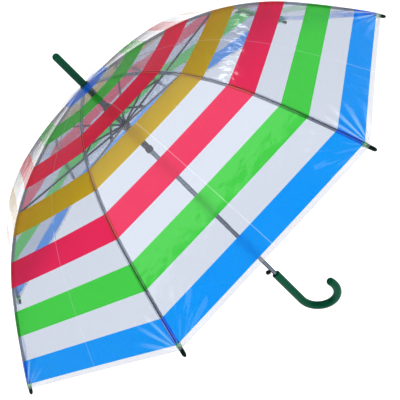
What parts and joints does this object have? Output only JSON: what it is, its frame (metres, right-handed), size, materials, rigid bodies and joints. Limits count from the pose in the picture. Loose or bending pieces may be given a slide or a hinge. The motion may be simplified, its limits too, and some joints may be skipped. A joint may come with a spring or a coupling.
{
  "type": "children's umbrella",
  "caption": "Open child's stick umbrella with a clear domed film canopy in coloured bands, hinged ribs, sliding runner, push button and hook handle.",
  "frame": {"origin": "on the shaft's axis at the middle of the straight grip", "axes": "+Z along the shaft towards the ferrule, +X along the first rib"},
  "size_m": [0.8186, 0.8186, 0.6911],
  "materials": {
    "film": "glossy clear film with translucent printed bands",
    "green_plastic": "glossy moulded",
    "black_plastic": "moulded",
    "chromed_tube": "polished",
    "rib_steel": "black coated",
    "bare_steel": "plain",
    "spring_steel": "dark oiled"
  },
  "bodies": {
    "shaft": {"shaft": "chromed_tube", "crown": "black_plastic", "crown_ring": "bare_steel", "ferrule": "green_plastic", "top_washer": "green_plastic", "handle": "green_plastic", "canopy": "film"},
    "rib_1": {"rib_1": "rib_steel", "rib_tip_1": "green_plastic", "joint_rivet_1": "bare_steel"},
    "stretcher_1": {"stretcher_1": "rib_steel"},
    "link_1": {"link_1": "rib_steel"},
    "rib_2": {"rib_2": "rib_steel", "rib_tip_2": "green_plastic", "joint_rivet_2": "bare_steel"},
    "stretcher_2": {"stretcher_2": "rib_steel"},
    "link_2": {"link_2": "rib_steel"},
    "rib_3": {"rib_3": "rib_steel", "rib_tip_3": "green_plastic", "joint_rivet_3": "bare_steel"},
    "stretcher_3": {"stretcher_3": "rib_steel"},
    "link_3": {"link_3": "rib_steel"},
    "rib_4": {"rib_4": "rib_steel", "rib_tip_4": "green_plastic", "joint_rivet_4": "bare_steel"},
    "stretcher_4": {"stretcher_4": "rib_steel"},
    "link_4": {"link_4": "rib_steel"},
    "rib_5": {"rib_5": "rib_steel", "rib_tip_5": "green_plastic", "joint_rivet_5": "bare_steel"},
    "stretcher_5": {"stretcher_5": "rib_steel"},
    "link_5": {"link_5": "rib_steel"},
    "rib_6": {"rib_6": "rib_steel", "rib_tip_6": "green_plastic", "joint_rivet_6": "bare_steel"},
    "stretcher_6": {"stretcher_6": "rib_steel"},
    "link_6": {"link_6": "rib_steel"},
    "rib_7": {"rib_7": "rib_steel", "rib_tip_7": "green_plastic", "joint_rivet_7": "bare_steel"},
    "stretcher_7": {"stretcher_7": "rib_steel"},
    "link_7": {"link_7": "rib_steel"},
    "rib_8": {"rib_8": "rib_steel", "rib_tip_8": "green_plastic", "joint_rivet_8": "bare_steel"},
    "stretcher_8": {"stretcher_8": "rib_steel"},
    "link_8": {"link_8": "rib_steel"},
    "runner": {"runner": "black_plastic", "runner_ring": "bare_steel", "opening_spring": "spring_steel"},
    "upper_hub": {"upper_hub": "black_plastic", "upper_ring": "bare_steel"},
    "push_button": {"push_button": "black_plastic", "latch_hook": "bare_steel"}
  },
  "joints": [
    {"name": "canopy_fold", "type": "hinge", "parent": "shaft", "child": "rib_1", "pos_m": [0.0066, 0, 0.535], "axis": [0, 1, 0], "range_deg": [0, 58], "stiffness_Nm_per_rad": 1.5, "springref_deg": -34.38, "deforming": ["canopy", "opening_spring"]},
    {"name": "rib_2_hinge", "type": "hinge", "parent": "shaft", "child": "rib_2", "pos_m": [0.00467, 0.00467, 0.535], "axis": [-0.7071, 0.7071, 0], "range_deg": [0, 58]},
    {"name": "rib_3_hinge", "type": "hinge", "parent": "shaft", "child": "rib_3", "pos_m": [0, 0.0066, 0.535], "axis": [-1, 0, 0], "range_deg": [0, 58]},
    {"name": "rib_4_hinge", "type": "hinge", "parent": "shaft", "child": "rib_4", "pos_m": [-0.00467, 0.00467, 0.535], "axis": [-0.7071, -0.7071, 0], "range_deg": [0, 58]},
    {"name": "rib_5_hinge", "type": "hinge", "parent": "shaft", "child": "rib_5", "pos_m": [-0.0066, 0, 0.535], "axis": [0, -1, 0], "range_deg": [0, 58]},
    {"name": "rib_6_hinge", "type": "hinge", "parent": "shaft", "child": "rib_6", "pos_m": [-0.00467, -0.00467, 0.535], "axis": [0.7071, -0.7071, 0], "range_deg": [0, 58]},
    {"name": "rib_7_hinge", "type": "hinge", "parent": "shaft", "child": "rib_7", "pos_m": [0, -0.0066, 0.535], "axis": [1, 0, 0], "range_deg": [0, 58]},
    {"name": "rib_8_hinge", "type": "hinge", "parent": "shaft", "child": "rib_8", "pos_m": [0.00467, -0.00467, 0.535], "axis": [0.7071, 0.7071, 0], "range_deg": [0, 58]},
    {"name": "stretcher_1_hinge", "type": "hinge", "parent": "rib_1", "child": "stretcher_1", "pos_m": [0.21499, 0, 0.49454], "axis": [0, 1, 0], "range_deg": [-116, 0]},
    {"name": "stretcher_2_hinge", "type": "hinge", "parent": "rib_2", "child": "stretcher_2", "pos_m": [0.15202, 0.15202, 0.49454], "axis": [-0.7071, 0.7071, 0], "range_deg": [-116, 0]},
    {"name": "stretcher_3_hinge", "type": "hinge", "parent": "rib_3", "child": "stretcher_3", "pos_m": [0, 0.21499, 0.49454], "axis": [-1, 0, 0], "range_deg": [-116, 0]},
    {"name": "stretcher_4_hinge", "type": "hinge", "parent": "rib_4", "child": "stretcher_4", "pos_m": [-0.15202, 0.15202, 0.49454], "axis": [-0.7071, -0.7071, 0], "range_deg": [-116, 0]},
    {"name": "stretcher_5_hinge", "type": "hinge", "parent": "rib_5", "child": "stretcher_5", "pos_m": [-0.21499, 0, 0.49454], "axis": [0, -1, 0], "range_deg": [-116, 0]},
    {"name": "stretcher_6_hinge", "type": "hinge", "parent": "rib_6", "child": "stretcher_6", "pos_m": [-0.15202, -0.15202, 0.49454], "axis": [0.7071, -0.7071, 0], "range_deg": [-116, 0]},
    {"name": "stretcher_7_hinge", "type": "hinge", "parent": "rib_7", "child": "stretcher_7", "pos_m": [0, -0.21499, 0.49454], "axis": [1, 0, 0], "range_deg": [-116, 0]},
    {"name": "stretcher_8_hinge", "type": "hinge", "parent": "rib_8", "child": "stretcher_8", "pos_m": [0.15202, -0.15202, 0.49454], "axis": [0.7071, 0.7071, 0], "range_deg": [-116, 0]},
    {"name": "link_1_hinge", "type": "hinge", "parent": "stretcher_1", "child": "link_1", "pos_m": [0.09102, 0, 0.47047], "axis": [0, 1, 0], "range_deg": [0, 116]},
    {"name": "link_2_hinge", "type": "hinge", "parent": "stretcher_2", "child": "link_2", "pos_m": [0.06436, 0.06436, 0.47047], "axis": [-0.7071, 0.7071, 0], "range_deg": [0, 116]},
    {"name": "link_3_hinge", "type": "hinge", "parent": "stretcher_3", "child": "link_3", "pos_m": [0, 0.09102, 0.47047], "axis": [-1, 0, 0], "range_deg": [0, 116]},
    {"name": "link_4_hinge", "type": "hinge", "parent": "stretcher_4", "child": "link_4", "pos_m": [-0.06436, 0.06436, 0.47047], "axis": [-0.7071, -0.7071, 0], "range_deg": [0, 116]},
    {"name": "link_5_hinge", "type": "hinge", "parent": "stretcher_5", "child": "link_5", "pos_m": [-0.09102, 0, 0.47047], "axis": [0, -1, 0], "range_deg": [0, 116]},
    {"name": "link_6_hinge", "type": "hinge", "parent": "stretcher_6", "child": "link_6", "pos_m": [-0.06436, -0.06436, 0.47047], "axis": [0.7071, -0.7071, 0], "range_deg": [0, 116]},
    {"name": "link_7_hinge", "type": "hinge", "parent": "stretcher_7", "child": "link_7", "pos_m": [0, -0.09102, 0.47047], "axis": [1, 0, 0], "range_deg": [0, 116]},
    {"name": "link_8_hinge", "type": "hinge", "parent": "stretcher_8", "child": "link_8", "pos_m": [0.06436, -0.06436, 0.47047], "axis": [0.7071, 0.7071, 0], "range_deg": [0, 116]},
    {"name": "runner_hinge", "type": "hinge", "parent": "stretcher_1", "child": "runner", "pos_m": [0.0066, 0, 0.45407], "axis": [0, 1, 0], "range_deg": [0, 58]},
    {"name": "upper_hub_hinge", "type": "hinge", "parent": "link_1", "child": "upper_hub", "pos_m": [0.0066, 0, 0.48686], "axis": [0, 1, 0], "range_deg": [-58, 0]},
    {"name": "button_press", "type": "slide", "parent": "shaft", "child": "push_button", "axis": [0.1951, 0.9808, 0], "range_m": [0, 0.002], "stiffness_N_per_m": 600, "springref_m": -0.002}
  ],
  "couplings": [
    {"joint": "rib_2_hinge", "follows": "canopy_fold", "ratio": 1},
    {"joint": "rib_3_hinge", "follows": "canopy_fold", "ratio": 1},
    {"joint": "rib_4_hinge", "follows": "canopy_fold", "ratio": 1},
    {"joint": "rib_5_hinge", "follows": "canopy_fold", "ratio": 1},
    {"joint": "rib_6_hinge", "follows": "canopy_fold", "ratio": 1},
    {"joint": "rib_7_hinge", "follows": "canopy_fold", "ratio": 1},
    {"joint": "rib_8_hinge", "follows": "canopy_fold", "ratio": 1},
    {"joint": "stretcher_1_hinge", "follows": "canopy_fold", "ratio": -2},
    {"joint": "stretcher_2_hinge", "follows": "canopy_fold", "ratio": -2},
    {"joint": "stretcher_3_hinge", "follows": "canopy_fold", "ratio": -2},
    {"joint": "stretcher_4_hinge", "follows": "canopy_fold", "ratio": -2},
    {"joint": "stretcher_5_hinge", "follows": "canopy_fold", "ratio": -2},
    {"joint": "stretcher_6_hinge", "follows": "canopy_fold", "ratio": -2},
    {"joint": "stretcher_7_hinge", "follows": "canopy_fold", "ratio": -2},
    {"joint": "stretcher_8_hinge", "follows": "canopy_fold", "ratio": -2},
    {"joint": "link_1_hinge", "follows": "canopy_fold", "ratio": 2},
    {"joint": "link_2_hinge", "follows": "canopy_fold", "ratio": 2},
    {"joint": "link_3_hinge", "follows": "canopy_fold", "ratio": 2},
    {"joint": "link_4_hinge", "follows": "canopy_fold", "ratio": 2},
    {"joint": "link_5_hinge", "follows": "canopy_fold", "ratio": 2},
    {"joint": "link_6_hinge", "follows": "canopy_fold", "ratio": 2},
    {"joint": "link_7_hinge", "follows": "canopy_fold", "ratio": 2},
    {"joint": "link_8_hinge", "follows": "canopy_fold", "ratio": 2},
    {"joint": "runner_hinge", "follows": "canopy_fold", "ratio": 1},
    {"joint": "upper_hub_hinge", "follows": "canopy_fold", "ratio": -1}
  ]
}
